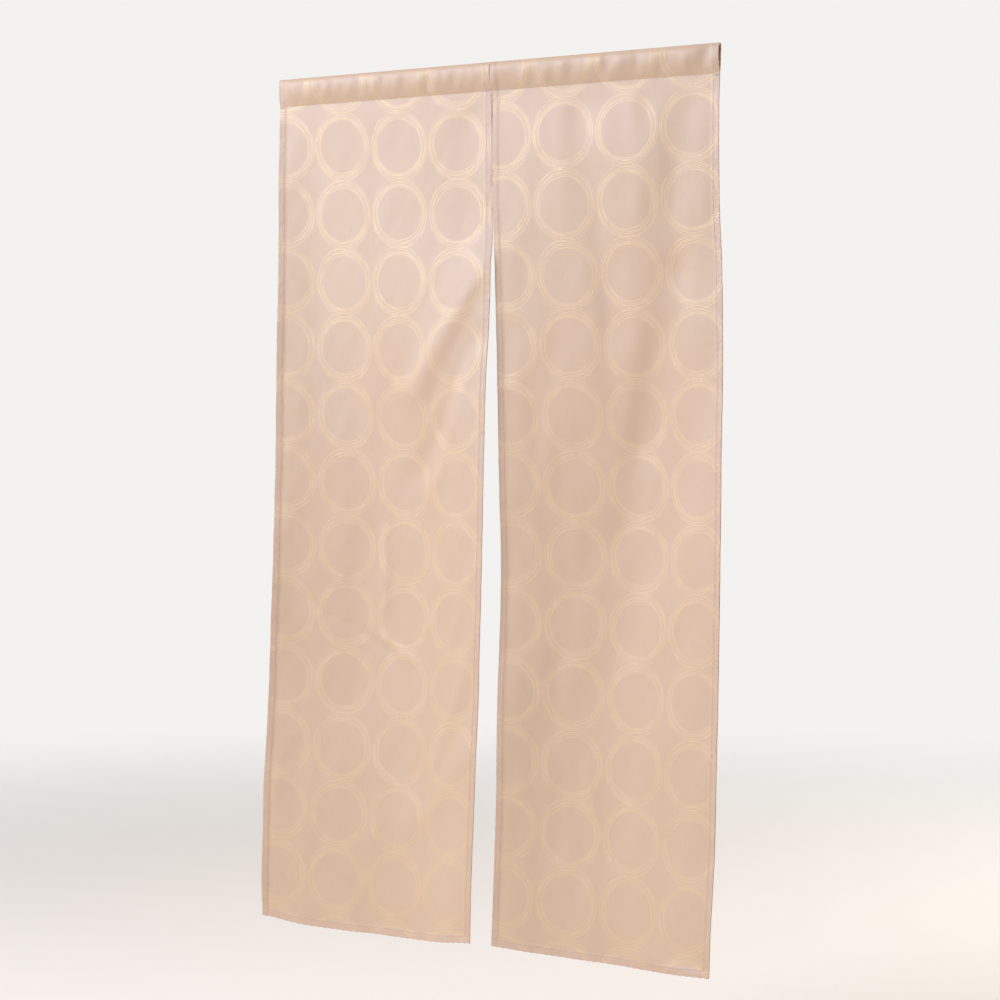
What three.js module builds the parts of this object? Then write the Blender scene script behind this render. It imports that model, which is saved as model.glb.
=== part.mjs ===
import * as THREE from 'three';

// A two-panel noren curtain, hung by its rod pocket, with the shallow folds of a light satin cloth.
// Millimetres, +Z up. The front faces -Y. The origin is the middle of the top edge, over the rod's middle.

// overall sizes
const WIDTH = 850;             // both panels together, at the rod
const DROP = 1500;             // top edge to bottom hem
const JOIN_X = 8;              // the two panels meet a little right of the middle
const CLOTH = 1.2;             // thickness of the sheets
const GAP = 0.3;               // clear space between neighbouring pieces

// rod pocket: the head of each panel is folded to the back and stitched down, and hangs as a teardrop
const POCKET_DROP = 48;        // top edge to the stitch line
const POCKET_RADIUS = 13.5;    // outside of the round top, over a 24 mm rod
const POCKET_ARC_STEPS = 20;   // sides of the round top

// grid of each hanging sheet
const COLUMNS = 18;
const ROWS = 46;
const SLOPE_STEP = 4;          // step along the cloth when its width is followed round the folds

// side hems are drawn up a little by their stitching, and the cloth between them sags
const HEM_REACH = 60;          // how far in from an edge the draw is felt
const SAG = 4;                 // extra drop of the hem's middle
const HOLD = 60;               // the stitch line holds the cloth flat, and folds grow below it over this drop
const FADE = 1.5;              // a fold's ends fade over this many times its width

const CLOTH_COLOUR = '#dfc6b3';

// Each panel's sections, from the stitch line down. drop is measured down from the top edge and across from
// the slit edge. swing is how far the slit edge moves sideways. slit, valley and outer are depths behind the
// rod's plane, and valleyAt is where the panel's one broad valley lies. folds are soft ridges (rise above 0)
// and hollows along a line from one point to another, width being the spread on either side.
const PANELS = {
  left: {
    outerX: -WIDTH / 2,
    slitX: JOIN_X - GAP / 2,
    drawn: 0.006,
    sections: [
      { drop: 48, swing: 0, slit: 0, valleyAt: 370, valley: 0, outer: 0 },
      { drop: 150, swing: 0, slit: 0, valleyAt: 375, valley: 3, outer: 1 },
      { drop: 240, swing: 0, slit: 0, valleyAt: 375, valley: 4, outer: 1 },
      { drop: 360, swing: -1, slit: -8, valleyAt: 350, valley: 6, outer: -1 },
      { drop: 480, swing: -3, slit: -14, valleyAt: 298, valley: 8, outer: -5 },
      { drop: 660, swing: -5, slit: -17, valleyAt: 228, valley: 14, outer: -10 },
      { drop: 830, swing: -9, slit: -18, valleyAt: 207, valley: 17, outer: -14 },
      { drop: 1060, swing: -15, slit: -20, valleyAt: 203, valley: 13, outer: -20 },
      { drop: 1290, swing: -21, slit: -27, valleyAt: 155, valley: 0, outer: -29 },
      { drop: 1500, swing: -25, slit: -32, valleyAt: 173, valley: -8, outer: -31 },
    ],
    folds: [
      { name: 'top hollow', x1: -38, drop1: 95, x2: -52, drop2: 290, width: 22, rise: -2.5 },
      { name: 'slit ridge', x1: -8, drop1: 345, x2: -140, drop2: 540, width: 24, rise: 5 },
      { name: 'slit hollow', x1: -20, drop1: 470, x2: -125, drop2: 680, width: 24, rise: -4 },
      { name: 'low ridge', x1: -45, drop1: 1200, x2: -130, drop2: 1300, width: 24, rise: 3 },
      { name: 'hem ridge', x1: -400, drop1: 1260, x2: -310, drop2: 1380, width: 26, rise: 2.5 },
    ],
  },
  right: {
    outerX: WIDTH / 2,
    slitX: JOIN_X + GAP / 2,
    drawn: 0.002,
    sections: [
      { drop: 48, swing: 0, slit: 0, valleyAt: 250, valley: 0, outer: 0 },
      { drop: 150, swing: 0, slit: 0, valleyAt: 260, valley: -6, outer: 0 },
      { drop: 240, swing: 0, slit: 0, valleyAt: 270, valley: -2, outer: 2 },
      { drop: 360, swing: 5, slit: 4, valleyAt: 288, valley: 6, outer: 4 },
      { drop: 480, swing: 7, slit: 7, valleyAt: 300, valley: 14, outer: 4 },
      { drop: 660, swing: 10, slit: 9, valleyAt: 272, valley: 28, outer: 1 },
      { drop: 830, swing: 12, slit: 9, valleyAt: 230, valley: 34, outer: -3 },
      { drop: 1060, swing: 9, slit: 7, valleyAt: 190, valley: 30, outer: -5 },
      { drop: 1290, swing: 6, slit: 4, valleyAt: 175, valley: 20, outer: -12 },
      { drop: 1500, swing: 1, slit: -2, valleyAt: 190, valley: 8, outer: -22 },
    ],
    folds: [
      { name: 'left branch', x1: 172, drop1: 60, x2: 228, drop2: 440, width: 24, rise: -4.5 },
      { name: 'right branch', x1: 366, drop1: 60, x2: 338, drop2: 350, width: 26, rise: -5 },
      { name: 'right branch foot', x1: 334, drop1: 400, x2: 285, drop2: 560, width: 26, rise: -4 },
    ],
  },
};

const { clamp, lerp, smoothstep } = THREE.MathUtils;

function clothMaterial() {
  return new THREE.MeshStandardMaterial({ color: CLOTH_COLOUR, roughness: 0.55, metalness: 0 });
}

// one column of the sections at any drop, as a smooth curve through the rows that never overshoots them
function level(rows, column, drop) {
  const last = rows.length - 1;
  const slope = (i) => {
    const above = rows[Math.max(0, i - 1)];
    const below = rows[Math.min(last, i + 1)];
    const turns = (rows[i][column] - above[column]) * (below[column] - rows[i][column]) <= 0;
    return turns ? 0 : (below[column] - above[column]) / (below.drop - above.drop);
  };
  let i = 0;
  while (i < last - 1 && drop > rows[i + 1].drop) i += 1;
  const span = rows[i + 1].drop - rows[i].drop;
  const t = clamp((drop - rows[i].drop) / span, 0, 1);
  const fromAbove = (1 + 2 * t) * (1 - t) ** 2 * rows[i][column] + t * (1 - t) ** 2 * span * slope(i);
  const fromBelow = (3 - 2 * t) * t ** 2 * rows[i + 1][column] - (1 - t) * t ** 2 * span * slope(i + 1);
  return fromAbove + fromBelow;
}

// the valley's side: steepest part way up, flat at the bottom
function ease(t) {
  return 0.5 * Math.sin((Math.PI / 2) * t) + 0.25 * (1 - Math.cos(Math.PI * t));
}

function foldHeight(fold, x, drop) {
  const dx = fold.x2 - fold.x1;
  const dDrop = fold.drop2 - fold.drop1;
  const length = Math.hypot(dx, dDrop);
  const along = ((x - fold.x1) * dx + (drop - fold.drop1) * dDrop) / length;
  const across = ((x - fold.x1) * dDrop - (drop - fold.drop1) * dx) / length;
  const past = Math.max(0, -along, along - length);
  return fold.rise * Math.exp(-0.5 * (across / fold.width) ** 2 - 0.5 * (past / (FADE * fold.width)) ** 2);
}

// depth behind the rod's plane at a point of the cloth, across being measured from the slit edge
function depthAt(panel, across, drop) {
  const width = Math.abs(panel.outerX - panel.slitX);
  const at = level(panel.sections, 'valleyAt', drop);
  const valley = level(panel.sections, 'valley', drop);
  const broad = across < at
    ? lerp(level(panel.sections, 'slit', drop), valley, ease(across / at))
    : lerp(level(panel.sections, 'outer', drop), valley, ease((width - across) / (width - at)));
  const x = panel.slitX + across * Math.sign(panel.outerX);
  const hold = smoothstep(drop, POCKET_DROP, POCKET_DROP + HOLD);
  return panel.folds.reduce((depth, fold) => depth - hold * foldHeight(fold, x, drop), broad);
}

// sideways distance covered by a stretch of cloth that starts at the slit edge and follows the folds
function coveredBy(panel, across, drop) {
  const steps = Math.max(1, Math.ceil(across / SLOPE_STEP));
  const step = across / steps;
  let covered = 0;
  for (let i = 0; i < steps; i += 1) {
    const rise = depthAt(panel, (i + 1) * step, drop) - depthAt(panel, i * step, drop);
    covered += Math.sqrt(Math.max(0, step ** 2 - rise ** 2));
  }
  return covered;
}

function hangingPoint(panel, across, drop) {
  const width = Math.abs(panel.outerX - panel.slitX);
  const nearEdge = Math.min(across, width - across);
  const drawnUp = (drop - POCKET_DROP) * panel.drawn * Math.exp(-((nearEdge / HEM_REACH) ** 2));
  const sag = SAG * Math.sin((Math.PI * across) / width) * (drop / DROP) ** 2;
  const x = panel.slitX + level(panel.sections, 'swing', drop)
    + Math.sign(panel.outerX) * coveredBy(panel, across, drop);
  return new THREE.Vector3(x, depthAt(panel, across, drop), drawnUp - drop - sag);
}

// the hanging sheet below the stitch line: a flat box of cloth moved onto its folds point by point
function hangingSheet(name, panel) {
  const width = Math.abs(panel.outerX - panel.slitX);
  const top = POCKET_DROP + GAP;
  const geometry = new THREE.BoxGeometry(width, CLOTH, DROP - top, COLUMNS, 1, ROWS);
  const place = geometry.attributes.position;
  const middle = (top + DROP) / 2;
  for (let i = 0; i < place.count; i += 1) {
    const fromLeft = place.getX(i) + width / 2;
    const across = panel.outerX > 0 ? fromLeft : width - fromLeft;
    const point = hangingPoint(panel, across, middle - place.getZ(i));
    // the sheet carries on from the pocket's front layer
    place.setXYZ(i, point.x, point.y + place.getY(i) - CLOTH / 2, point.z);
  }
  geometry.computeVertexNormals();
  return namedMesh(name, geometry);
}

// outline of the pocket's section, inset from its outside, drawn with x to the back and y up
function teardrop(inset) {
  const radius = POCKET_RADIUS - inset;
  const centre = -POCKET_RADIUS;
  const lean = Math.asin(POCKET_RADIUS / (POCKET_DROP - POCKET_RADIUS));
  const foot = inset === 0 ? CLOTH : 0;
  const footDrop = inset === 0 ? -POCKET_DROP : centre - radius / Math.sin(lean);
  const points = [];
  for (let i = 0; i <= POCKET_ARC_STEPS; i += 1) {
    const turn = lerp(-lean, Math.PI + lean, i / POCKET_ARC_STEPS);
    points.push(new THREE.Vector2(radius * Math.cos(turn), centre + radius * Math.sin(turn)));
  }
  points.push(new THREE.Vector2(-foot, footDrop));
  if (foot > 0) points.push(new THREE.Vector2(foot, footDrop));
  return points;
}

function rodPocket(name, fromX, toX) {
  const section = new THREE.Shape(teardrop(0));
  section.holes.push(new THREE.Path(teardrop(CLOTH)));
  const geometry = new THREE.ExtrudeGeometry(section, { depth: toX - fromX, bevelEnabled: false });
  // the section's right becomes +Y, its up +Z and its length +X
  geometry.applyMatrix4(new THREE.Matrix4().makeBasis(
    new THREE.Vector3(0, 1, 0),
    new THREE.Vector3(0, 0, 1),
    new THREE.Vector3(1, 0, 0),
  ));
  const mesh = namedMesh(name, geometry);
  mesh.position.x = fromX;
  return mesh;
}

function namedMesh(name, geometry) {
  const mesh = new THREE.Mesh(geometry, clothMaterial());
  mesh.name = name;
  return mesh;
}

const group = new THREE.Group();
group.add(rodPocket('pocket_left', PANELS.left.outerX, PANELS.left.slitX));
group.add(rodPocket('pocket_right', PANELS.right.slitX, PANELS.right.outerX));
group.add(hangingSheet('panel_left', PANELS.left));
group.add(hangingSheet('panel_right', PANELS.right));

export default group;
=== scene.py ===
import math

import bpy
import numpy as np
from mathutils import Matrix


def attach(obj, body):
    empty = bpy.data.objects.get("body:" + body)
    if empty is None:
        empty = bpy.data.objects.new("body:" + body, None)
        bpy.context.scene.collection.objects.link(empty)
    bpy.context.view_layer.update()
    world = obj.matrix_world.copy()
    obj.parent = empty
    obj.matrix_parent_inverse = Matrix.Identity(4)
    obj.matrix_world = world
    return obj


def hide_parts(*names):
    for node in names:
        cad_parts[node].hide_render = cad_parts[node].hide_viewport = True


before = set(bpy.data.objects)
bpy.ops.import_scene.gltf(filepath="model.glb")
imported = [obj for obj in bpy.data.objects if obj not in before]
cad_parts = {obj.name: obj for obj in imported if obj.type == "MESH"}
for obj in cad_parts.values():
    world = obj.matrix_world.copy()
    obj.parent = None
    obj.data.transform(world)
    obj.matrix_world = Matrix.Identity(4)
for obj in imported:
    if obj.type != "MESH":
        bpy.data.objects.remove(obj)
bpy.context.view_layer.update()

# A two-panel noren of satin jacquard, blown a little out of its plane. Sizes are in mm, and meshes in metres.
scene = bpy.context.scene
mm = 0.001
print("noren: frame loaded,", len(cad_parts), "nodes")


def toLinear(hexColour):
    linear = []
    for start in (1, 3, 5):
        value = int(hexColour[start:start + 2], 16) / 255
        linear.append(value / 12.92 if value <= 0.04045 else ((value + 0.055) / 1.055) ** 2.4)
    return (*linear, 1.0)


# adds a node to a tree, with its settings, and fills its inputs with values or with other nodes' outputs
def add(tree, kind, inputs=None, **settings):
    node = tree.nodes.new(kind)
    for name, value in settings.items():
        setattr(node, name, value)
    for key, value in (inputs or {}).items():
        if isinstance(value, bpy.types.NodeSocket):
            tree.links.new(value, node.inputs[key])
        else:
            node.inputs[key].default_value = value
    return node


def newMaterial(name):
    material = bpy.data.materials.new(name)
    material.use_nodes = True
    material.node_tree.nodes.clear()
    return material, material.node_tree


def newObject(name, data):
    obj = bpy.data.objects.new(name, data)
    scene.collection.objects.link(obj)
    return obj


# How the cloth hangs, with the sections and folds of the CAD sheets, and the steepest folds a little narrower
# than there. drop is measured down from the top edge, across from the slit edge, and depth behind the rod's
# plane.
hanging = dict(
    drop=1500.0,
    pocketDrop=48.0,       # top edge to the stitch line
    sheet=1.2,             # the CAD sheet's thickness, which the cloth lies in the middle of
    hemReach=60.0,         # how far in from an edge its stitching draws the cloth up
    sag=4.0,
    hold=60.0,             # folds grow below the stitch line over this drop
    waveHold=40.0,         # and the faint waves over this one
    fade=1.5,              # a fold's ends fade over this many times its width
    slitFree=(250, 330),   # below the slit head the slit edges come loose over these drops
    strayReach=35.0,       # how far in from the slit edge its straying is felt
    foldSteps=220,         # points across a panel when its width is followed round the folds
)

# Each panel's sections, from the stitch line down: swing is how far the slit edge moves sideways, and slit,
# valley and outer are depths. folds are soft ridges (rise above 0) and hollows between two points, given as
# (x, drop), with a spread to either side. creases are those that the CAD sheets leave out. strays says how
# far the slit edge wanders sideways from the CAD's, as (drop, distance). cut is the flat size in metres.
leftPanel = dict(
    name="left", side=-1, slitX=7.85, outerX=-425.0, drawn=0.006, seed=11, cut=(0.457, 1.584),
    sections=[
        dict(drop=48, swing=0, slit=0, valleyAt=370, valley=0, outer=0),
        dict(drop=150, swing=0, slit=0, valleyAt=375, valley=3, outer=1),
        dict(drop=240, swing=0, slit=0, valleyAt=375, valley=4, outer=1),
        dict(drop=360, swing=-1, slit=-8, valleyAt=350, valley=6, outer=-1),
        dict(drop=480, swing=-3, slit=-14, valleyAt=298, valley=8, outer=-5),
        dict(drop=660, swing=-5, slit=-17, valleyAt=228, valley=14, outer=-10),
        dict(drop=830, swing=-9, slit=-18, valleyAt=207, valley=17, outer=-14),
        dict(drop=1060, swing=-15, slit=-20, valleyAt=203, valley=13, outer=-20),
        dict(drop=1290, swing=-21, slit=-27, valleyAt=155, valley=0, outer=-29),
        dict(drop=1500, swing=-25, slit=-32, valleyAt=173, valley=-8, outer=-31),
    ],
    folds=[
        dict(start=(-38, 95), end=(-52, 290), spread=22, rise=-2.5),
        dict(start=(-8, 345), end=(-140, 540), spread=18, rise=4.3),
        dict(start=(-20, 470), end=(-125, 680), spread=19, rise=-3.7),
        dict(start=(-45, 1200), end=(-130, 1300), spread=24, rise=3),
        dict(start=(-400, 1260), end=(-310, 1380), spread=26, rise=2.5),
    ],
    creases=[
        dict(start=(8, 320), end=(4, 500), spread=26, rise=-1.6),
        dict(start=(-428, 190), end=(-428, 1420), spread=34, rise=6.8),
        dict(start=(-15, 300), end=(-70, 385), spread=9, rise=1.3),
        dict(start=(-20, 400), end=(-110, 560), spread=10, rise=-1.3),
        dict(start=(-25, 500), end=(-95, 700), spread=10, rise=1.7),
        dict(start=(-212, 800), end=(-206, 925), spread=6, rise=1.1),
        dict(start=(-398, 905), end=(-205, 1000), spread=7, rise=-0.9),
        dict(start=(-205, 985), end=(-150, 1015), spread=9, rise=1.2),
        dict(start=(-300, 1130), end=(-190, 1230), spread=9, rise=0.9),
        dict(start=(-330, 1190), end=(-230, 1290), spread=10, rise=-0.9),
        dict(start=(-60, 330), end=(-120, 450), spread=8, rise=0.6),
        dict(start=(-336, 1462), end=(-240, 1490), spread=12, rise=1.4),
        dict(start=(-14, 860), end=(-60, 990), spread=9, rise=1.0),
        dict(start=(-22, 1020), end=(-84, 1185), spread=10, rise=1.4),
        dict(start=(-20, 1110), end=(-96, 1250), spread=11, rise=-1.1),
    ],
    strays=[
        (240, 0), (262, 0.2), (300, 2.6), (350, 3.0), (420, 2.2),
        (520, 0), (640, -1.6), (830, -0.8), (1060, 0),
    ],
)

rightPanel = dict(
    name="right", side=1, slitX=8.15, outerX=425.0, drawn=0.002, seed=23, cut=(0.441, 1.584),
    sections=[
        dict(drop=48, swing=0, slit=0, valleyAt=250, valley=0, outer=0),
        dict(drop=150, swing=0, slit=0, valleyAt=260, valley=-6, outer=0),
        dict(drop=240, swing=0, slit=0, valleyAt=270, valley=-2, outer=2),
        dict(drop=360, swing=5, slit=4, valleyAt=288, valley=6, outer=4),
        dict(drop=480, swing=7, slit=7, valleyAt=300, valley=14, outer=4),
        dict(drop=660, swing=10, slit=9, valleyAt=272, valley=28, outer=1),
        dict(drop=830, swing=12, slit=9, valleyAt=230, valley=34, outer=-3),
        dict(drop=1060, swing=9, slit=7, valleyAt=190, valley=30, outer=-5),
        dict(drop=1290, swing=6, slit=4, valleyAt=175, valley=20, outer=-12),
        dict(drop=1500, swing=1, slit=-2, valleyAt=190, valley=8, outer=-22),
    ],
    folds=[
        dict(start=(176, 90), end=(228, 440), spread=21, rise=-3.2),
        dict(start=(362, 90), end=(338, 350), spread=22, rise=-3.4),
        dict(start=(336, 370), end=(270, 640), spread=22, rise=-3.4),
    ],
    creases=[
        dict(start=(250, 110), end=(242, 330), spread=15, rise=-0.6),
        dict(start=(202, 380), end=(232, 640), spread=13, rise=-0.8),
        dict(start=(292, 480), end=(228, 800), spread=14, rise=-1.1),
        dict(start=(170, 1180), end=(188, 1250), spread=7, rise=1.2),
        dict(start=(300, 1478), end=(400, 1500), spread=10, rise=2.0),
        dict(start=(22, 415), end=(60, 428), spread=8, rise=0.9),
        dict(start=(22, 545), end=(66, 570), spread=8, rise=0.9),
        dict(start=(24, 660), end=(60, 690), spread=9, rise=-0.8),
        dict(start=(300, 640), end=(262, 800), spread=10, rise=0.8),
        dict(start=(8, 340), end=(8, 700), spread=40, rise=4.0),
        dict(start=(10, 1080), end=(8, 1500), spread=42, rise=5.5),
    ],
    strays=[
        (238, 0), (250, 2.0), (300, 2.2), (370, 0.6), (480, 0), (640, -0.6), (1100, 0.8), (1500, 2.2),
    ],
)


def panelWidth(panel):
    return abs(panel["outerX"] - panel["slitX"])


# one column of the sections at any drop, as a smooth curve that never overshoots the rows
def level(panel, column, drop):
    drops = np.array([row["drop"] for row in panel["sections"]], float)
    values = np.array([row[column] for row in panel["sections"]], float)
    above = np.concatenate([values[:1], values[:-1]])
    below = np.concatenate([values[1:], values[-1:]])
    reach = np.concatenate([drops[1:], drops[-1:]]) - np.concatenate([drops[:1], drops[:-1]])
    slope = np.where((values - above) * (below - values) <= 0, 0.0, (below - above) / reach)
    row = np.searchsorted(drops[1:-1], drop)
    span = drops[row + 1] - drops[row]
    t = np.clip((drop - drops[row]) / span, 0, 1)
    fromAbove = (1 + 2 * t) * (1 - t) ** 2 * values[row] + t * (1 - t) ** 2 * span * slope[row]
    fromBelow = (3 - 2 * t) * t ** 2 * values[row + 1] - (1 - t) * t ** 2 * span * slope[row + 1]
    return fromAbove + fromBelow


# the valley's side: steepest part way up, flat at the bottom
def ease(t):
    return 0.5 * np.sin(np.pi / 2 * t) + 0.25 * (1 - np.cos(np.pi * t))


def smooth(value, low, high):
    t = np.clip((value - low) / (high - low), 0, 1)
    return t * t * (3 - 2 * t)


def foldHeight(fold, x, drop):
    startX, startDrop = fold["start"]
    dx = fold["end"][0] - startX
    dDrop = fold["end"][1] - startDrop
    length = math.hypot(dx, dDrop)
    along = ((x - startX) * dx + (drop - startDrop) * dDrop) / length
    across = ((x - startX) * dDrop - (drop - startDrop) * dx) / length
    past = np.maximum(0, np.maximum(-along, along - length))
    spread = fold["spread"]
    fading = 0.5 * (past / (hanging["fade"] * spread)) ** 2
    return fold["rise"] * np.exp(-0.5 * (across / spread) ** 2 - fading)


def depthAt(panel, across, drop):
    width = panelWidth(panel)
    at = level(panel, "valleyAt", drop)
    valley = level(panel, "valley", drop)
    slit = level(panel, "slit", drop)
    outer = level(panel, "outer", drop)
    inner = slit + (valley - slit) * ease(np.clip(across / at, 0, 1))
    far = outer + (valley - outer) * ease(np.clip((width - across) / (width - at), 0, 1))
    depth = np.where(across < at, inner, far)
    x = panel["slitX"] + panel["side"] * across
    hold = smooth(drop, hanging["pocketDrop"], hanging["pocketDrop"] + hanging["hold"])
    for fold in panel["folds"]:
        depth = depth - hold * foldHeight(fold, x, drop)
    return depth


# x of each column of a row, following the cloth round its folds from the slit edge
def spreadOut(panel, columns, drop):
    fine = np.linspace(0, panelWidth(panel), hanging["foldSteps"])
    rise = np.diff(depthAt(panel, fine, np.full_like(fine, drop)))
    step = fine[1] - fine[0]
    covered = np.concatenate([[0], np.cumsum(np.sqrt(np.maximum(0, step ** 2 - rise ** 2)))])
    swing = float(level(panel, "swing", np.array([drop]))[0])
    strayDrops, strays = zip(*panel["strays"])
    stray = np.interp(drop, strayDrops, strays) * np.exp(-columns / hanging["strayReach"])
    return panel["slitX"] + swing + panel["side"] * np.interp(columns, fine, covered) + stray


# The cloth itself, drawn a little fuller than the real 0.35 mm.
sheet = dict(
    layer=0.6,
    # its grid: plain cloth, and lines in from a hem's edge and down from the pocket's seam
    step=4.3,
    hemGrid=(0, 0.8, 2.6, 5, 7.6, 9.7, 10.8, 11.9, 12.6, 15, 18.4),
    plainFrom=22.0,
    seamGrid=(0, 1, 2.4, 4),
    seamTo=6.5,
    # hems
    hem=12.3,              # width of the turned side and bottom hems
    hemStep=0.5,           # the hem's thickness ends over this width
    hemFront=0.15,         # the turned layers stand out a little in front
    hemBack=0.7,           # and more at the back
    stitch=10.8,           # stitch line, in from the edge, on a line of the grid
    dimple=0.25,           # the stitching presses the cloth in
    dimpleWidth=0.9,
    stitchLift=0.12,       # the thread lies this far off the cloth
    # loose edges
    curl=2.3,              # the outer side hems turn a little towards the front
    slitCurl=0.3,
    curlReach=15.0,
    bottomCurl=1.2,
    bottomCurlReach=16.0,
    curlPower=1.6,
    edgeWave=0.21,         # slack of the side edges between their stitches, which dies out from the edge
    edgeWaveReach=13.0,
    edgeWaveLength=74.0,
    shortWave=0.6,         # share of a shorter wave in the slack, which leans a little
    shortWaveLength=31.0,
    shortWaveLean=40.0,
    scallop=0.5,           # the bottom edge dips between its stitches
    scallopLength=13.0,
    scallopReach=8.0,
    # the pocket: its front wall bends through these, as a Bezier curve of depth and height
    pocketLow=(-7.0, -36.5),
    pocketHigh=(-19.0, 0.5),
    wallPoints=23,
    layerGap=0.1,          # between the two walls at the seam
    tailGrid=(3.0, 1.2),   # rows of the pocket's turned edge, below its stitch line
    endFlat=0.5,           # past the rod's ends the pocket lies flatter
    endFlatReach=45.0,
    # soft upright creases between the rod and the pocket's stitching
    pulls=14,
    pullHeight=0.42,       # of a crease of the usual length
    pullLengths=(16, 62),
    pullUsual=60.0,
    pullLean=0.5,
    # faint waves of the whole cloth, mostly across its width
    waves=22,
    waveHeight=0.13,       # of a wave of the usual length
    waveLengths=(30, 130),
    waveUsual=90.0,
    waveTurn=0.75,
)

# How the lattice of rings lies on the flat cloth. The left panel is cut a little off the grain: its rings
# drift to the right on the way down, as (drop, distance), and its upper rows climb to one side.
lattice = dict(
    pitchX=117.0,
    pitchY=116.6,
    left=dict(x=-413.0, drop=129.8),
    right=dict(x=27.0, drop=127.2),
    drift=[(48, 0), (480, 3), (830, 10), (1300, 16)],
    skew=0.037,
    skewAbout=-180.0,
    skewFade=1290.0,
)


# grid lines across a panel, closer along both hems
def gridColumns(width):
    near = np.array(sheet["hemGrid"])
    first = sheet["plainFrom"]
    plain = np.linspace(first, width - first, round((width - 2 * first) / sheet["step"]) + 1)
    return np.concatenate([near, plain, width - near[::-1]])


def gridRows():
    seam = hanging["pocketDrop"] + np.array(sheet["seamGrid"])
    first = hanging["pocketDrop"] + sheet["seamTo"]
    last = hanging["drop"] - sheet["plainFrom"]
    plain = np.linspace(first, last, round((last - first) / sheet["step"]))
    return np.concatenate([seam, plain, hanging["drop"] - np.array(sheet["hemGrid"])[::-1]])


# the pocket's section as (depth, height) points, from its turned edge at the back, up over the rod and down
# to the stitch line, and how far along the cloth each point is, counted as a drop
def pocketSection():
    foot = -hanging["pocketDrop"]
    frontY = -hanging["sheet"] / 2
    backY = frontY + sheet["layer"] + sheet["layerGap"]
    topZ = -sheet["layer"] / 2
    t = np.linspace(0, 1, sheet["wallPoints"])[:, None]
    wall = (
        (1 - t) ** 3 * (frontY, foot)
        + 3 * (1 - t) ** 2 * t * sheet["pocketLow"]
        + 3 * (1 - t) * t ** 2 * sheet["pocketHigh"]
        + t ** 3 * (0, topZ)
    )
    behind = wall * (-1, 1)
    behind[:, 0] += (backY + frontY) * (1 - t[:, 0])
    tail = np.array([(backY, foot - below) for below in sheet["tailGrid"]])
    points = np.concatenate([tail, behind, wall[-2::-1]])
    path = np.concatenate([[0], np.cumsum(np.hypot(*np.diff(points, axis=0).T))])
    path += hanging["pocketDrop"] - path[-1]
    return points[:-1], path[:-1]


def softWaves(panel, x, drop):
    rng = np.random.default_rng(panel["seed"])
    total = np.zeros(np.broadcast(x, drop).shape)
    for _ in range(sheet["waves"]):
        length = rng.uniform(*sheet["waveLengths"])
        turn = rng.uniform(-sheet["waveTurn"], sheet["waveTurn"])
        phase = rng.uniform(0, 2 * np.pi)
        height = sheet["waveHeight"] * length / sheet["waveUsual"]
        total += height * np.sin(2 * np.pi * (x * math.cos(turn) + drop * math.sin(turn)) / length + phase)
    return total


# upright creases of the pocket, deepest half way between the rod and the stitch line
def pocketPull(panel, x, z):
    rng = np.random.default_rng(panel["seed"] + 1)
    total = np.zeros_like(x)
    for _ in range(sheet["pulls"]):
        length = rng.uniform(*sheet["pullLengths"])
        lean = rng.uniform(-sheet["pullLean"], sheet["pullLean"])
        phase = rng.uniform(0, 2 * np.pi)
        total += np.sin(2 * np.pi * (x + lean * z) / length + phase) * length / sheet["pullUsual"]
    downPocket = min(max(-z / hanging["pocketDrop"], 0), 1)
    return sheet["pullHeight"] * total * math.sin(math.pi * downPocket)


# what the cloth does between the CAD's folds: waves, creases and turned edges, as depth
def detail(panel, across, drop):
    width = panelWidth(panel)
    x = panel["slitX"] + panel["side"] * across
    hold = smooth(drop, hanging["pocketDrop"], hanging["pocketDrop"] + hanging["waveHold"])
    depth = softWaves(panel, x, drop) * hold
    for crease in panel["creases"]:
        depth = depth - foldHeight(crease, x, drop)
    edge = np.minimum(across, width - across)
    bySlit = across < width / 2
    slitFree = smooth(drop, *hanging["slitFree"])
    curl = np.where(bySlit, sheet["slitCurl"] * slitFree, sheet["curl"] * hold)
    depth = depth - curl * np.clip(1 - edge / sheet["curlReach"], 0, 1) ** sheet["curlPower"]
    longWave = np.sin(2 * np.pi * drop / sheet["edgeWaveLength"] + panel["seed"])
    shortWave = np.sin(2 * np.pi * drop / sheet["shortWaveLength"] + across / sheet["shortWaveLean"])
    slack = longWave + sheet["shortWave"] * shortWave
    loose = np.where(bySlit, slitFree, hold)
    depth = depth + sheet["edgeWave"] * loose * np.exp(-edge / sheet["edgeWaveReach"]) * slack
    fromBottom = (hanging["drop"] - drop) / sheet["bottomCurlReach"]
    return depth - sheet["bottomCurl"] * np.clip(1 - fromBottom, 0, 1) ** sheet["curlPower"]


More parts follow.
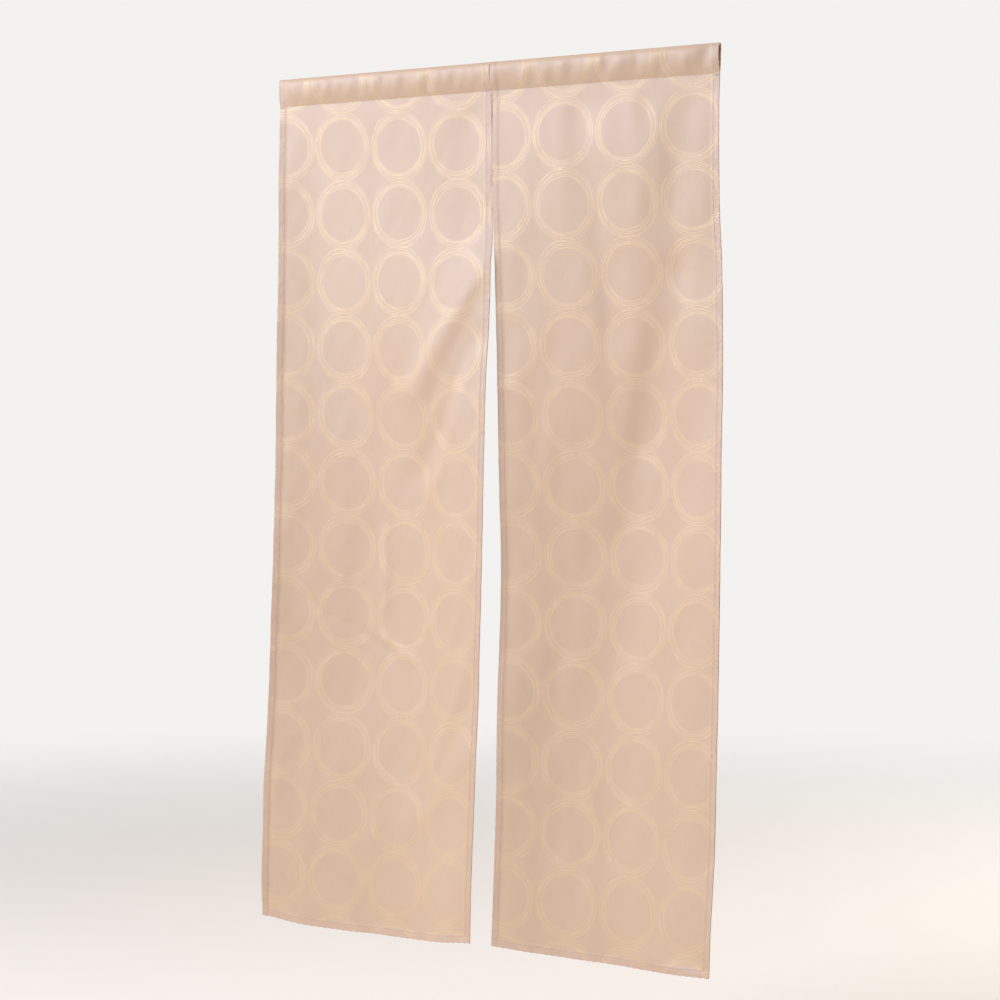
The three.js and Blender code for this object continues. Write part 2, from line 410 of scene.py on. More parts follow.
# the middle of the cloth as a grid of points: the pocket from its turned edge on, then the cloth below it
def clothMiddle(panel, columns, section, drops):
    width = panelWidth(panel)
    middle = -hanging["sheet"] / 2
    flatX = panel["slitX"] + panel["side"] * columns
    flatter = 1 - sheet["endFlat"] * (1 - smooth(width - columns, 0, sheet["endFlatReach"]))
    pocket = []
    for y, z in section:
        depth = middle + (y - middle) * flatter - pocketPull(panel, flatX, z)
        pocket.append(np.stack([flatX, depth, np.full_like(flatX, z)], axis=-1))

    across, drop = np.meshgrid(columns, drops)
    edge = np.minimum(across, width - across)
    x = np.stack([spreadOut(panel, columns, row) for row in drops])
    depth = depthAt(panel, across, drop) + detail(panel, across, drop) + middle
    drawnUp = (drop - hanging["pocketDrop"]) * panel["drawn"] * np.exp(-(edge / hanging["hemReach"]) ** 2)
    sag = hanging["sag"] * np.sin(np.pi * across / width) * (drop / hanging["drop"]) ** 2
    atBottom = smooth(drop, hanging["drop"] - sheet["scallopReach"], hanging["drop"])
    scallop = sheet["scallop"] * np.sin(2 * np.pi * across / sheet["scallopLength"]) * atBottom
    below = np.stack([x, depth, drawnUp - drop - sag + scallop], axis=-1)
    return np.concatenate([np.array(pocket), below])


# both faces of the cloth, off its middle by half a layer, with the hems' turned layers and sewn grooves
def clothFaces(place, edge, up):
    normal = np.cross(np.gradient(place, axis=0), np.gradient(place, axis=1))
    normal /= np.linalg.norm(normal, axis=2, keepdims=True)
    nearest = np.minimum(edge[None, :], up[:, None])
    hem = np.clip((sheet["hem"] - nearest) / sheet["hemStep"], 0, 1)
    sideDip = np.exp(-((edge - sheet["stitch"]) / sheet["dimpleWidth"]) ** 2)[None, :]
    bottomDip = np.exp(-((up - sheet["stitch"]) / sheet["dimpleWidth"]) ** 2)[:, None]
    dip = sheet["dimple"] * np.maximum(sideDip, bottomDip)
    front = place + normal * (sheet["layer"] / 2 + sheet["hemFront"] * hem - dip)[..., None]
    back = place - normal * (sheet["layer"] / 2 + sheet["hemBack"] * hem - dip)[..., None]
    return front, back, normal


# corners of the faces of the front, the back and the rims that close the cloth's four edges
def shellCorners(rows, count):
    front = np.arange(rows * count).reshape(rows, count)
    back = front + rows * count
    quads = np.stack([front[:-1, :-1], front[1:, :-1], front[1:, 1:], front[:-1, 1:]], axis=-1)
    quads = quads.reshape(-1, 4)
    rims = [
        np.stack([front[:-1, 0], back[:-1, 0], back[1:, 0], front[1:, 0]], axis=-1),
        np.stack([front[:-1, -1], front[1:, -1], back[1:, -1], back[:-1, -1]], axis=-1),
        np.stack([front[0, :-1], front[0, 1:], back[0, 1:], back[0, :-1]], axis=-1),
        np.stack([front[-1, :-1], back[-1, :-1], back[-1, 1:], front[-1, 1:]], axis=-1),
    ]
    return quads, (quads + rows * count)[:, ::-1], np.concatenate(rims)


# places on the flat cloth, counted in rings of the lattice
def ringPlaces(panel, flatX, path):
    start = lattice[panel["name"]]
    x, drop = np.meshgrid(flatX, path)
    if panel["side"] < 0:
        driftDrops, drifts = zip(*lattice["drift"])
        drift = np.interp(drop, driftDrops, drifts)
        fading = np.clip(1 - (drop - start["drop"]) / lattice["skewFade"], 0, 1)
        drop = drop - lattice["skew"] * (x - lattice["skewAbout"]) * fading
        x = x - drift
    across = (x - start["x"]) / lattice["pitchX"]
    upwards = (start["drop"] - drop) / lattice["pitchY"]
    return np.stack([across, upwards], axis=-1)


# lines that the stitching follows: the hems on both faces, then the pocket's seam in front and behind
def sewnLines(front, back, normal, edge, up, seamRow):
    hemRow = int(np.argmin(abs(up - sheet["stitch"])))
    first = int(np.argmin(abs(edge[:len(edge) // 2] - sheet["stitch"])))
    last = len(edge) - 1 - first
    lift = sheet["stitchLift"] * normal
    lines = []
    for surface in (front + lift, back - lift):
        lines.append(surface[seamRow + 1:hemRow + 1, first])
        lines.append(surface[seamRow + 1:hemRow + 1, last])
        lines.append(surface[hemRow, first:last + 1])
    seamBehind = len(sheet["tailGrid"])
    for row in (seamRow, seamBehind):
        lines.append((front + lift)[row, 2:-2])  # clear of the side edges
    return lines


def makeCloth(panel):
    width = panelWidth(panel)
    # columns are measured from the slit edge and run from left to right in both panels
    columns = gridColumns(width)[::panel["side"]]
    edge = np.minimum(columns, width - columns)
    section, sectionPath = pocketSection()
    drops = gridRows()
    path = np.concatenate([sectionPath, drops])
    up = hanging["drop"] - path
    front, back, normal = clothFaces(clothMiddle(panel, columns, section, drops), edge, up)
    rows, count = front.shape[:2]
    frontCorners, backCorners, rimCorners = shellCorners(rows, count)
    corners = np.concatenate([frontCorners, backCorners, rimCorners])
    points = np.concatenate([front.reshape(-1, 3), back.reshape(-1, 3)]) * mm

    mesh = bpy.data.meshes.new(panel["name"] + "Cloth")
    mesh.from_pydata(points.tolist(), [], corners.tolist())
    mesh.polygons.foreach_set("use_smooth", np.ones(len(corners), bool))
    slots = np.zeros(len(corners), np.int32)
    slots[len(frontCorners):len(frontCorners) + len(backCorners)] = 1
    mesh.polygons.foreach_set("material_index", slots)

    places = ringPlaces(panel, panel["slitX"] + panel["side"] * columns, path).reshape(-1, 2)
    loops = np.empty(len(mesh.loops), np.int32)
    mesh.loops.foreach_get("vertex_index", loops)
    uv = mesh.uv_layers.new(name="rings")
    uv.data.foreach_set("uv", np.tile(places, (2, 1))[loops].astype(np.float32).ravel())
    # distance to the nearest side edge and to the bottom edge, in mm
    distances = dict(sideEdge=np.tile(edge, rows), bottomEdge=np.repeat(up, count))
    for name, values in distances.items():
        layer = mesh.attributes.new(name, "FLOAT", "POINT")
        layer.data.foreach_set("value", np.tile(values, 2).astype(np.float32))
    mesh.validate()
    mesh.update()
    return mesh, sewnLines(front, back, normal, edge, up, len(section))


# Satin jacquard in polyester filament: a warp-faced satin ground, smooth and a little glossy down its length,
# with rings woven weft-faced in the same yarn. The eye sees one pale colour, and a soft sheen that runs with
# the folds. The rings stand out lighter where light meets them, and sink into the cloth where it passes by.
satin = dict(
    front=dict(ground="#d1b191", ring="#d6b68a", roughness=0.58, ringRoughness=0.52, sheen=0.25),
    # the back of a satin is the dull side, and its rings are the darker ones
    back=dict(ground="#d3b69c", ring="#b8916c", roughness=0.62, ringRoughness=0.58, sheen=0.15),
    groundWarm="#cfaa82",      # the ground wanders part way to this in wide patches
    warmest=0.5,
    patchScale=(0.011, 0.008, 0),
    hem="#cba88c",
    hemShare=0.6,
    hemFade=(10.4, 12.4),
    gloss="#b4dcf4",           # the warp's own gloss, cooler than the cloth
    ringGloss="#eae6d4",
    ior=1.75,
    ringIor=2.15,
    sheenRoughness=0.45,
    ringSheenRoughness=0.35,
    drawnOut=0.4,              # the gloss is drawn out across the warp, as in any satin
    through=0.16,              # light that comes through the thin cloth
    ringDensity=-0.3,          # less of it where the rings are woven closer
    # uneven filaments, long down the cloth and 0.9 mm apart, coarser than the real 0.3 mm so that they show
    streakPitch=0.9,
    streakStretch=0.04,
    streakShade=(0.12, 0.94),
    streakHeight=0.12,         # mm, as are the heights below
    ringHeight=0.12,
    puckerHeight=0.9,
    puckerPitch=9.0,           # the hem's stitching gathers it in small puckers
    puckerFade=(11.0, 17.0),   # which die out just inside its stitch line
    bump=0.8,
    groovePaintedShade=0.91,          # painted shade: the sewn groove is drawn a little darker than the hem, for the shade that falls in it
    grooveFade=(0.4, 1.5),
)

# The loose lines that draw one ring, with centre and radii in mm: the first two reach into the rings above
# and below. They waver a little, each one against the next, and the floats of the weave break them up.
rings = dict(
    lines=[
        dict(centre=(0.6, -0.7), radii=(56.2, 60.4), strength=0.8),
        dict(centre=(-0.9, 0.8), radii=(54.8, 56.2), strength=0.95),
        dict(centre=(1.5, 0.9), radii=(51.2, 51.6), strength=1.0),
        dict(centre=(-1.8, -0.8), radii=(49.0, 50.2), strength=0.85),
        dict(centre=(0.4, -1.3), radii=(45.8, 46.8), strength=1.0),
    ],
    width=1.3,
    soft=0.4,
    waver=3.6,
    waverScale=5.0,            # waves of the lines in one ring's width
    waverShifts=(0.0, 7.3),
    floatScale=(75.0, 95.0, 0),
    floatRange={"From Min": 0.34, "From Max": 0.52, "To Min": 0.36, "To Max": 1.1},
    wornScale=5.5,             # whole stretches of a ring are fainter
    wornRange={"From Min": 0.3, "From Max": 0.6, "To Min": 0.55, "To Max": 1.0},
    tint=0.11,                 # the ground between the lines is woven part way to the ring's colour
    tintRadius=51.0,
    tintFade=(3.0, 9.0),
)


# one wavering line of a ring, in the ring's own millimetres
def ringLine(tree, place, line, waver, broken):
    centre = (*line["centre"], 0)
    meanRadius = sum(line["radii"]) / 2
    stretch = (meanRadius / line["radii"][0], meanRadius / line["radii"][1], 0)
    half = rings["width"] / 2
    wavering = add(tree, "ShaderNodeVectorMath", {0: place, 1: waver}, operation="ADD").outputs[0]
    moved = add(tree, "ShaderNodeVectorMath", {0: wavering, 1: centre}, operation="SUBTRACT").outputs[0]
    rounded = add(tree, "ShaderNodeVectorMath", {0: moved, 1: stretch}, operation="MULTIPLY").outputs[0]
    radius = add(tree, "ShaderNodeVectorMath", {0: rounded}, operation="LENGTH").outputs["Value"]
    past = add(tree, "ShaderNodeMath", {0: radius, 1: meanRadius}, operation="SUBTRACT").outputs[0]
    off = add(tree, "ShaderNodeMath", {0: past}, operation="ABSOLUTE").outputs[0]
    strand = add(tree, "ShaderNodeMapRange", {
        "Value": off, "From Min": half - rings["soft"], "From Max": half + rings["soft"],
        "To Min": line["strength"], "To Max": 0.0,
    }, interpolation_type="SMOOTHSTEP").outputs[0]
    return add(tree, "ShaderNodeMath", {0: strand, 1: broken}, operation="MULTIPLY").outputs[0]


# how much of a point is woven as ring. Rings on every other row are drawn apart from those between them,
# so that a ring can reach over its neighbours above and below
def ringMask(tree, uv):
    wornNoise = add(tree, "ShaderNodeTexNoise", {
        "Vector": uv, "Scale": rings["wornScale"], "Detail": 1.0,
    }).outputs["Fac"]
    worn = add(tree, "ShaderNodeMapRange", {"Value": wornNoise, **rings["wornRange"]}).outputs[0]
    floatAt = add(tree, "ShaderNodeVectorMath", {
        0: uv, 1: rings["floatScale"],
    }, operation="MULTIPLY").outputs[0]
    floats = add(tree, "ShaderNodeTexNoise", {
        "Vector": floatAt, "Scale": 1.0, "Detail": 0.0,
    }).outputs["Fac"]
    broken = add(tree, "ShaderNodeMapRange", {"Value": floats, **rings["floatRange"]}).outputs[0]
    wavers = []
    for shift in rings["waverShifts"]:
        at = add(tree, "ShaderNodeVectorMath", {
            0: uv, 1: (rings["waverScale"], rings["waverScale"], 0), 2: (shift, shift, 0),
        }, operation="MULTIPLY_ADD").outputs[0]
        noise = add(tree, "ShaderNodeTexNoise", {
            "Vector": at, "Scale": 1.0, "Detail": 2.0,
        }).outputs["Color"]
        centred = add(tree, "ShaderNodeVectorMath", {
            0: noise, 1: (0.5, 0.5, 0.5),
        }, operation="SUBTRACT").outputs[0]
        waver = add(tree, "ShaderNodeVectorMath", {0: centred, "Scale": rings["waver"]}, operation="SCALE")
        wavers.append(waver.outputs[0])

    tintFrom, tintTo = rings["tintFade"]
    cellSize = (lattice["pitchX"], 2 * lattice["pitchY"], 0)
    mask = 0.0
    for row in (0, 1):
        cell = add(tree, "ShaderNodeVectorMath", {
            0: uv, 1: (1, 0.5, 0), 2: (0.5, 0.5 + row / 2, 0),
        }, operation="MULTIPLY_ADD").outputs[0]
        inCell = add(tree, "ShaderNodeVectorMath", {0: cell}, operation="FRACTION").outputs[0]
        centred = add(tree, "ShaderNodeVectorMath", {
            0: inCell, 1: (0.5, 0.5, 0),
        }, operation="SUBTRACT").outputs[0]
        place = add(tree, "ShaderNodeVectorMath", {0: centred, 1: cellSize}, operation="MULTIPLY").outputs[0]
        # each ring is its neighbour turned half way round
        cellNumber = add(tree, "ShaderNodeVectorMath", {0: cell}, operation="FLOOR").outputs[0]
        numbers = add(tree, "ShaderNodeSeparateXYZ", {0: cellNumber}).outputs
        cellSum = add(tree, "ShaderNodeMath", {0: numbers[0], 1: numbers[1]}, operation="ADD").outputs[0]
        order = add(tree, "ShaderNodeMath", {0: cellSum, 1: float(row)}, operation="ADD").outputs[0]
        odd = add(tree, "ShaderNodeMath", {0: order, 1: 2.0}, operation="FLOORED_MODULO").outputs[0]
        angle = add(tree, "ShaderNodeMath", {0: odd, 1: math.pi}, operation="MULTIPLY").outputs[0]
        turned = add(tree, "ShaderNodeVectorRotate", {
            "Vector": place, "Angle": angle,
        }, rotation_type="Z_AXIS").outputs[0]
        for number, line in enumerate(rings["lines"]):
            strand = ringLine(tree, turned, line, wavers[number % 2], broken)
            mask = add(tree, "ShaderNodeMath", {0: mask, 1: strand}, operation="MAXIMUM").outputs[0]
        radius = add(tree, "ShaderNodeVectorMath", {0: place}, operation="LENGTH").outputs["Value"]
        past = add(tree, "ShaderNodeMath", {
            0: radius, 1: rings["tintRadius"],
        }, operation="SUBTRACT").outputs[0]
        off = add(tree, "ShaderNodeMath", {0: past}, operation="ABSOLUTE").outputs[0]
        band = add(tree, "ShaderNodeMapRange", {
            "Value": off, "From Min": tintFrom, "From Max": tintTo, "To Min": rings["tint"], "To Max": 0.0,
        }, interpolation_type="SMOOTHSTEP").outputs[0]
        mask = add(tree, "ShaderNodeMath", {0: mask, 1: band}, operation="MAXIMUM").outputs[0]
    return add(tree, "ShaderNodeMath", {0: mask, 1: worn}, operation="MULTIPLY").outputs[0]


def satinMaterial(name, face):
    material, tree = newMaterial(name)
    uv = add(tree, "ShaderNodeUVMap", uv_map="rings").outputs[0]
    mask = ringMask(tree, uv)
    pitch = (lattice["pitchX"], lattice["pitchY"], 0)
    millimetres = add(tree, "ShaderNodeVectorMath", {0: uv, 1: pitch}, operation="MULTIPLY").outputs[0]
    streakAt = add(tree, "ShaderNodeVectorMath", {
        0: millimetres, 1: (1 / satin["streakPitch"], satin["streakStretch"], 0),
    }, operation="MULTIPLY").outputs[0]
    streak = add(tree, "ShaderNodeTexNoise", {
        "Vector": streakAt, "Scale": 1.0, "Detail": 2.0, "Roughness": 0.6,
    }).outputs["Fac"]
    sideEdge = add(tree, "ShaderNodeAttribute", attribute_name="sideEdge").outputs["Fac"]
    bottomEdge = add(tree, "ShaderNodeAttribute", attribute_name="bottomEdge").outputs["Fac"]
    nearest = add(tree, "ShaderNodeMath", {0: sideEdge, 1: bottomEdge}, operation="MINIMUM").outputs[0]

    # colours of the ground, the rings and the hems
    patchAt = add(tree, "ShaderNodeVectorMath", {
        0: millimetres, 1: satin["patchScale"],
    }, operation="MULTIPLY").outputs[0]
    patch = add(tree, "ShaderNodeTexNoise", {"Vector": patchAt, "Scale": 1.0, "Detail": 1.0}).outputs["Fac"]
    warmth = add(tree, "ShaderNodeMath", {0: patch, 1: satin["warmest"]}, operation="MULTIPLY").outputs[0]
    warm = add(tree, "ShaderNodeMix", {
        "Factor": warmth, "A": toLinear(face["ground"]), "B": toLinear(satin["groundWarm"]),
    }, data_type="RGBA").outputs["Result"]
    hemFrom, hemTo = satin["hemFade"]
    hemPart = add(tree, "ShaderNodeMapRange", {
        "Value": nearest, "From Min": hemFrom, "From Max": hemTo,
        "To Min": satin["hemShare"], "To Max": 0.0,
    }).outputs[0]
    groundColour = add(tree, "ShaderNodeMix", {
        "Factor": hemPart, "A": warm, "B": toLinear(satin["hem"]),
    }, data_type="RGBA").outputs["Result"]
    ringColour = add(tree, "ShaderNodeMix", {
        "Factor": hemPart, "A": toLinear(face["ring"]), "B": toLinear(satin["hem"]),
    }, data_type="RGBA").outputs["Result"]

    # tone of the uneven filaments, and painted shade in the sewn groove
    pastGroove = add(tree, "ShaderNodeMath", {
        0: nearest, 1: sheet["stitch"],
    }, operation="SUBTRACT").outputs[0]
    fromGroove = add(tree, "ShaderNodeMath", {0: pastGroove}, operation="ABSOLUTE").outputs[0]
    grooveFrom, grooveTo = satin["grooveFade"]
    # painted shade: the colour darkens along the sewn groove, where shade falls in its dimple
    paintedGrooveShade = add(tree, "ShaderNodeMapRange", {
        "Value": fromGroove, "From Min": grooveFrom, "From Max": grooveTo,
        "To Min": satin["groovePaintedShade"], "To Max": 1.0,
    }, interpolation_type="SMOOTHSTEP").outputs[0]
    contrast, darkest = satin["streakShade"]
    uneven = add(tree, "ShaderNodeMath", {
        0: streak, 1: contrast, 2: darkest,
    }, operation="MULTIPLY_ADD").outputs[0]
    # the filaments' tone times the painted shade of the groove
    shade = add(tree, "ShaderNodeMath", {0: uneven, 1: paintedGrooveShade}, operation="MULTIPLY").outputs[0]
    ground = add(tree, "ShaderNodeVectorMath", {
        0: groundColour, "Scale": shade,
    }, operation="SCALE").outputs[0]
    ring = add(tree, "ShaderNodeVectorMath", {0: ringColour, "Scale": shade}, operation="SCALE").outputs[0]

    # relief of the filaments, the rings and the puckers
    puckerFrom, puckerTo = satin["puckerFade"]
    puckerPart = add(tree, "ShaderNodeMapRange", {
        "Value": nearest, "From Min": puckerFrom, "From Max": puckerTo,
        "To Min": satin["puckerHeight"], "To Max": 0.0,
    }, interpolation_type="SMOOTHSTEP").outputs[0]
    pucker = add(tree, "ShaderNodeTexNoise", {
        "Vector": millimetres, "Scale": 1 / satin["puckerPitch"], "Detail": 1.0,
    }).outputs["Fac"]
    puckerHeight = add(tree, "ShaderNodeMath", {0: pucker, 1: puckerPart}, operation="MULTIPLY").outputs[0]
    streakHeight = add(tree, "ShaderNodeMath", {
        0: streak, 1: satin["streakHeight"], 2: puckerHeight,
    }, operation="MULTIPLY_ADD").outputs[0]
    height = add(tree, "ShaderNodeMath", {
        0: mask, 1: satin["ringHeight"], 2: streakHeight,
    }, operation="MULTIPLY_ADD").outputs[0]
    bump = add(tree, "ShaderNodeBump", {
        "Height": height, "Distance": mm, "Strength": satin["bump"],
    }).outputs[0]
    grain = add(tree, "ShaderNodeTangent", direction_type="UV_MAP", uv_map="rings").outputs[0]

    groundShader = add(tree, "ShaderNodeBsdfPrincipled", {
        "Base Color": ground, "Roughness": face["roughness"],
        "IOR": satin["ior"], "Specular IOR Level": 1.0, "Specular Tint": toLinear(satin["gloss"]),
        "Sheen Weight": face["sheen"], "Sheen Roughness": satin["sheenRoughness"],
        "Anisotropic": satin["drawnOut"], "Normal": bump, "Tangent": grain,
    }).outputs[0]
    ringShader = add(tree, "ShaderNodeBsdfPrincipled", {
        "Base Color": ring, "Roughness": face["ringRoughness"],
        "IOR": satin["ringIor"], "Specular IOR Level": 1.0, "Specular Tint": toLinear(satin["ringGloss"]),
        "Sheen Weight": face["sheen"], "Sheen Roughness": satin["ringSheenRoughness"],
        "Anisotropic": satin["drawnOut"], "Normal": bump, "Tangent": grain,
    }).outputs[0]
    woven = add(tree, "ShaderNodeMixShader", {0: mask, 1: groundShader, 2: ringShader}).outputs[0]
    clear = add(tree, "ShaderNodeMath", {
        0: mask, 1: satin["ringDensity"], 2: 1.0,
    }, operation="MULTIPLY_ADD").outputs[0]
    glowColour = add(tree, "ShaderNodeVectorMath", {0: ground, "Scale": clear}, operation="SCALE").outputs[0]
    glow = add(tree, "ShaderNodeBsdfTranslucent", {"Color": glowColour, "Normal": bump}).outputs[0]
    mixed = add(tree, "ShaderNodeMixShader", {0: satin["through"], 1: woven, 2: glow}).outputs[0]
    add(tree, "ShaderNodeOutputMaterial", {"Surface": mixed})
    return material


# Spun polyester sewing thread, twisted and matt beside the satin, so each stitch reads as a soft bead.
thread = dict(
    colour="#cfae98",
    dark="#b9967f",
    roughness=0.6,
    sheen=0.3,
    twist=11.31,           # from one dark turn to the next, far coarser than the real 1 mm so that it shows
    twistHeight=0.1,
)


def threadMaterial():
    material, tree = newMaterial("threadPolyester")
    position = add(tree, "ShaderNodeTexCoord").outputs["Object"]
    radiansPerUnit = 10        # of a diagonal wave texture whose scale is 1
    twist = add(tree, "ShaderNodeTexWave", {
        "Vector": position, "Scale": 2 * math.pi / radiansPerUnit / (thread["twist"] * mm),
        "Distortion": 1.5, "Detail": 1.0,
    }, bands_direction="DIAGONAL").outputs["Fac"]
    colour = add(tree, "ShaderNodeMix", {
        "Factor": twist, "A": toLinear(thread["colour"]), "B": toLinear(thread["dark"]),
    }, data_type="RGBA").outputs["Result"]
    bump = add(tree, "ShaderNodeBump", {
        "Height": twist, "Distance": thread["twistHeight"] * mm, "Strength": 0.6,
    }).outputs[0]
    shader = add(tree, "ShaderNodeBsdfPrincipled", {
        "Base Color": colour, "Roughness": thread["roughness"], "Normal": bump,
        "Sheen Weight": thread["sheen"],
    }).outputs[0]
    add(tree, "ShaderNodeOutputMaterial", {"Surface": shader})
    return material


satinFront = satinMaterial("satinFront", satin["front"])
satinBack = satinMaterial("satinBack", satin["back"])
sewingThread = threadMaterial()
print("noren: materials made")

cloths = {}
stitchLines = {}
for panel in (leftPanel, rightPanel):
    mesh, stitchLines[panel["name"]] = makeCloth(panel)
    mesh.materials.append(satinFront)
    mesh.materials.append(satinBack)
    cloths[panel["name"]] = newObject("cloth_" + panel["name"], mesh)
    print("noren: cloth", panel["name"], len(mesh.polygons), "faces")

# Stitching: one small bead repeated along every sewn line by Geometry Nodes. Bar tacks of the same beads lie
# across the join of the two panels, over the drops in tackRuns, at the depths in tackDepths.
stitching = dict(
    pitch=3.4,             # from stitch to stitch
    length=2.7,
    thick=0.55,
    uneven=0.12,
    seed=5,
    beadSides=6,
    beadRings=4,
    tackPitch=3.1,
    tackLength=7.5,
    tackThick=0.7,
    tackLean=0.06,
    tackRuns=[(52, 64), (180, 208), (234, 243)],
    tackPoints=6,
    tackDepths=(-1.5, 0.7),
)


def stitchTree():
    tree = bpy.data.node_groups.new("stitches", "GeometryNodeTree")
    sockets = {
        "Lines": "NodeSocketGeometry", "Pitch": "NodeSocketFloat", "Length": "NodeSocketFloat",
        "Thickness": "NodeSocketFloat", "Unevenness": "NodeSocketFloat", "Seed": "NodeSocketInt",
        "Thread": "NodeSocketMaterial",
    }
    for name, kind in sockets.items():
        tree.interface.new_socket(name, in_out="INPUT", socket_type=kind)
    tree.interface.new_socket("Stitches", in_out="OUTPUT", socket_type="NodeSocketGeometry")
    given = add(tree, "NodeGroupInput").outputs
    curve = add(tree, "GeometryNodeMeshToCurve", {"Mesh": given["Lines"]}).outputs[0]
    spaced = add(tree, "GeometryNodeResampleCurve", {
        "Curve": curve, "Length": given["Pitch"],
    }, mode="LENGTH").outputs[0]
    bead = add(tree, "GeometryNodeMeshUVSphere", {
        "Segments": stitching["beadSides"], "Rings": stitching["beadRings"], "Radius": 0.5,
    }).outputs["Mesh"]
    size = add(tree, "ShaderNodeCombineXYZ", {
        0: given["Thickness"], 1: given["Thickness"], 2: given["Length"],
    }).outputs[0]
    along = add(tree, "GeometryNodeInputNamedAttribute", {"Name": "along"}, data_type="FLOAT_VECTOR")
    turn = add(tree, "FunctionNodeAlignRotationToVector", {
        "Vector": along.outputs["Attribute"],
    }, axis="Z").outputs[0]
    low = add(tree, "ShaderNodeMath", {0: 1.0, 1: given["Unevenness"]}, operation="SUBTRACT").outputs[0]
    high = add(tree, "ShaderNodeMath", {0: 1.0, 1: given["Unevenness"]}, operation="ADD").outputs[0]
    uneven = add(tree, "FunctionNodeRandomValue", {2: low, 3: high, "Seed": given["Seed"]}, data_type="FLOAT")
    scale = add(tree, "ShaderNodeVectorMath", {
        0: size, "Scale": uneven.outputs[1],
    }, operation="SCALE").outputs[0]
    placed = add(tree, "GeometryNodeInstanceOnPoints", {
        "Points": spaced, "Instance": bead, "Rotation": turn, "Scale": scale,
    }).outputs[0]
    real = add(tree, "GeometryNodeRealizeInstances", {"Geometry": placed}).outputs[0]
    sewn = add(tree, "GeometryNodeSetMaterial", {"Geometry": real, "Material": given["Thread"]}).outputs[0]
    add(tree, "NodeGroupOutput", {"Stitches": sewn})
    return tree


stitchNodes = stitchTree()


# beads along each line, lying along it or all in one direction
def sew(name, lines, pitch, length, thick, direction=None):
    points = []
    edges = []
    along = []
    for line in lines:
        start = len(points)
        points.extend((line * mm).tolist())
        edges.extend((i, i + 1) for i in range(start, len(points) - 1))
        run = np.gradient(line, axis=0) if direction is None else np.tile(direction, (len(line), 1))
        along.extend((run / np.linalg.norm(run, axis=1, keepdims=True)).tolist())
    mesh = bpy.data.meshes.new(name + "Lines")
    mesh.from_pydata(points, edges, [])
    layer = mesh.attributes.new("along", "FLOAT_VECTOR", "POINT")
    layer.data.foreach_set("vector", np.array(along, np.float32).ravel())
    obj = newObject(name, mesh)
    modifier = obj.modifiers.new("stitches", "NODES")
    modifier.node_group = stitchNodes
    settings = {
        "Pitch": pitch * mm, "Length": length * mm, "Thickness": thick * mm,
        "Unevenness": stitching["uneven"], "Seed": stitching["seed"], "Thread": sewingThread,
    }
    for item in stitchNodes.interface.items_tree:
        if item.in_out == "INPUT" and item.name in settings:
            modifier[item.identifier] = settings[item.name]
    obj.update_tag()
    plain = bpy.data.meshes.new_from_object(obj.evaluated_get(bpy.context.evaluated_depsgraph_get()))
    plain.name = name
    obj.modifiers.remove(modifier)
    obj.data = plain
    bpy.data.meshes.remove(mesh)
    plain.polygons.foreach_set("use_smooth", np.ones(len(plain.polygons), bool))
    print("noren:", name, len(plain.polygons), "faces")
    return obj


stitches = {}
for side, lines in stitchLines.items():
    stitches[side] = sew(
        "stitches_" + side, lines, stitching["pitch"], stitching["length"], stitching["thick"],
    )

joinX = (leftPanel["slitX"] + rightPanel["slitX"]) / 2
tackLines = []
for top, bottom in stitching["tackRuns"]:
    heights = np.linspace(-top, -bottom, stitching["tackPoints"])
    for y in stitching["tackDepths"]:
        tackLines.append(np.array([(joinX, y, z) for z in heights]))
tacks = sew(
    "tacks", tackLines, stitching["tackPitch"], stitching["tackLength"], stitching["tackThick"],
    direction=(1.0, 0.0, stitching["tackLean"]),
)

for side, cloth in cloths.items():
    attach(cloth, "root")
    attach(stitches[side], "root")
    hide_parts("pocket_" + side, "panel_" + side)
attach(tacks, "root")
print("noren: pieces declared")

# The stage, in metres: a pale floor that melts into a pale studio.
stage = dict(
    floorZ=-1.86,
    floorColour="#eeebe5",
    floorRoughness=0.85,
    floorShade=(0.03, 0.985),  # faint unevenness
    fadeFrom=1.8,              # the floor fades out between these distances from the middle
    fadeTo=5.2,
    light="#efdcc4",           # soft light from all round
    lightStrength=0.14,
    wall="#f3f2f0",            # the pale wall far behind, as the camera sees it
)


def makeFloor():
    material, tree = newMaterial("paleFloor")
    position = add(tree, "ShaderNodeTexCoord").outputs["Object"]
    onFloor = add(tree, "ShaderNodeVectorMath", {
        0: position, 1: (1, 1, 0),
    }, operation="MULTIPLY").outputs[0]
    away = add(tree, "ShaderNodeVectorMath", {0: onFloor}, operation="LENGTH").outputs["Value"]
    fade = add(tree, "ShaderNodeMapRange", {
        "Value": away, "From Min": stage["fadeFrom"], "From Max": stage["fadeTo"],
    }, interpolation_type="SMOOTHSTEP").outputs[0]
    grain = add(tree, "ShaderNodeTexNoise", {
        "Vector": position, "Scale": 3.0, "Detail": 3.0,
    }).outputs["Fac"]
    contrast, darkest = stage["floorShade"]
    shade = add(tree, "ShaderNodeMath", {
        0: grain, 1: contrast, 2: darkest,
    }, operation="MULTIPLY_ADD").outputs[0]
    colour = add(tree, "ShaderNodeVectorMath", {
        0: toLinear(stage["floorColour"])[:3], "Scale": shade,
    }, operation="SCALE").outputs[0]
    matt = add(tree, "ShaderNodeBsdfPrincipled", {
        "Base Color": colour, "Roughness": stage["floorRoughness"],
    }).outputs[0]
    clear = add(tree, "ShaderNodeBsdfTransparent").outputs[0]
    mixed = add(tree, "ShaderNodeMixShader", {0: fade, 1: matt, 2: clear}).outputs[0]
    add(tree, "ShaderNodeOutputMaterial", {"Surface": mixed})

    reach = stage["fadeTo"] + 1
    square = ((-reach, -reach), (reach, -reach), (reach, reach), (-reach, reach))
    corners = [(x, y, stage["floorZ"]) for x, y in square]
    mesh = bpy.data.meshes.new("floor")
    mesh.from_pydata(corners, [], [(0, 1, 2, 3)])
    mesh.materials.append(material)
    return newObject("floor", mesh)


floor = makeFloor()

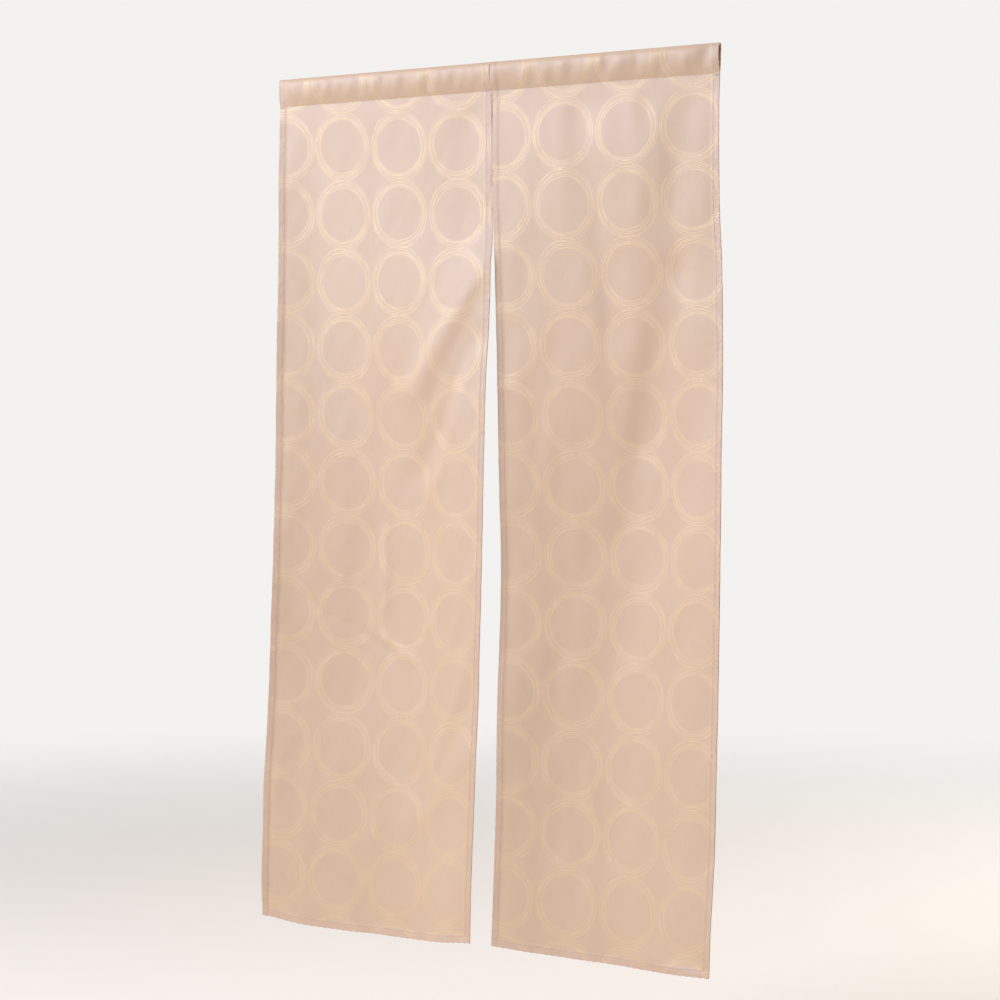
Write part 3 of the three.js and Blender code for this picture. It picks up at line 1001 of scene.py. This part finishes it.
world = bpy.data.worlds.new("studio")
world.use_nodes = True
worldTree = world.node_tree
worldTree.nodes.clear()
seen = add(worldTree, "ShaderNodeLightPath").outputs["Is Camera Ray"]
light = add(worldTree, "ShaderNodeBackground", {
    0: toLinear(stage["light"]), 1: stage["lightStrength"],
}).outputs[0]
wall = add(worldTree, "ShaderNodeBackground", {0: toLinear(stage["wall"])}).outputs[0]
studio = add(worldTree, "ShaderNodeMixShader", {0: seen, 1: light, 2: wall}).outputs[0]
add(worldTree, "ShaderNodeOutputWorld", {"Surface": studio})
scene.world = world

# Round soft lamps, in metres and watts: the key from the front left brings out the folds.
lamps = [
    dict(name="key", at=(-3.1, -3.8, 1.25), aim=(0, 0, -0.7), size=4.0, power=345.0, colour="#f2f4ff"),
    dict(name="above", at=(0.0, 0.2, 2.6), aim=(0, 0.21, 0), size=6.0, power=91.0, colour="#fbf8ff"),
    dict(name="behind", at=(2.0, 4.4, 0.9), aim=(0, 0, -0.7), size=3.0, power=170.0, colour="#fff8f0"),
    dict(name="fill", at=(1.2, -4.6, -0.9), aim=(0, 0, -0.7), size=2.6, power=44.0, colour="#ffeedd"),
]
for lamp in lamps:
    data = bpy.data.lights.new(lamp["name"], "AREA")
    data.shape = "DISK"
    data.size = lamp["size"]
    data.energy = lamp["power"]
    data.color = toLinear(lamp["colour"])[:3]
    obj = newObject(lamp["name"], data)
    obj.location = lamp["at"]
    dx, dy, dz = np.array(lamp["aim"]) - np.array(lamp["at"])
    obj.rotation_euler = (math.atan2(math.hypot(dx, dy), -dz), 0, math.atan2(dy, dx) - math.pi / 2)

# The camera stands at the photo's angle, to the right and tilted a little down, in metres and degrees.
view = dict(at=(1.8774, -3.2675, -0.5676), turn=29.577, tilt=-2.566, lens=80.06, sensor=36.0)
cameraData = bpy.data.cameras.new("camera")
cameraData.lens = view["lens"]
cameraData.sensor_width = view["sensor"]
camera = newObject("camera", cameraData)
camera.location = view["at"]
camera.rotation_euler = (math.radians(90 + view["tilt"]), 0, math.radians(view["turn"]))
scene.camera = camera
scene.view_settings.view_transform = "Standard"
print("noren: stage, lamps and camera placed")
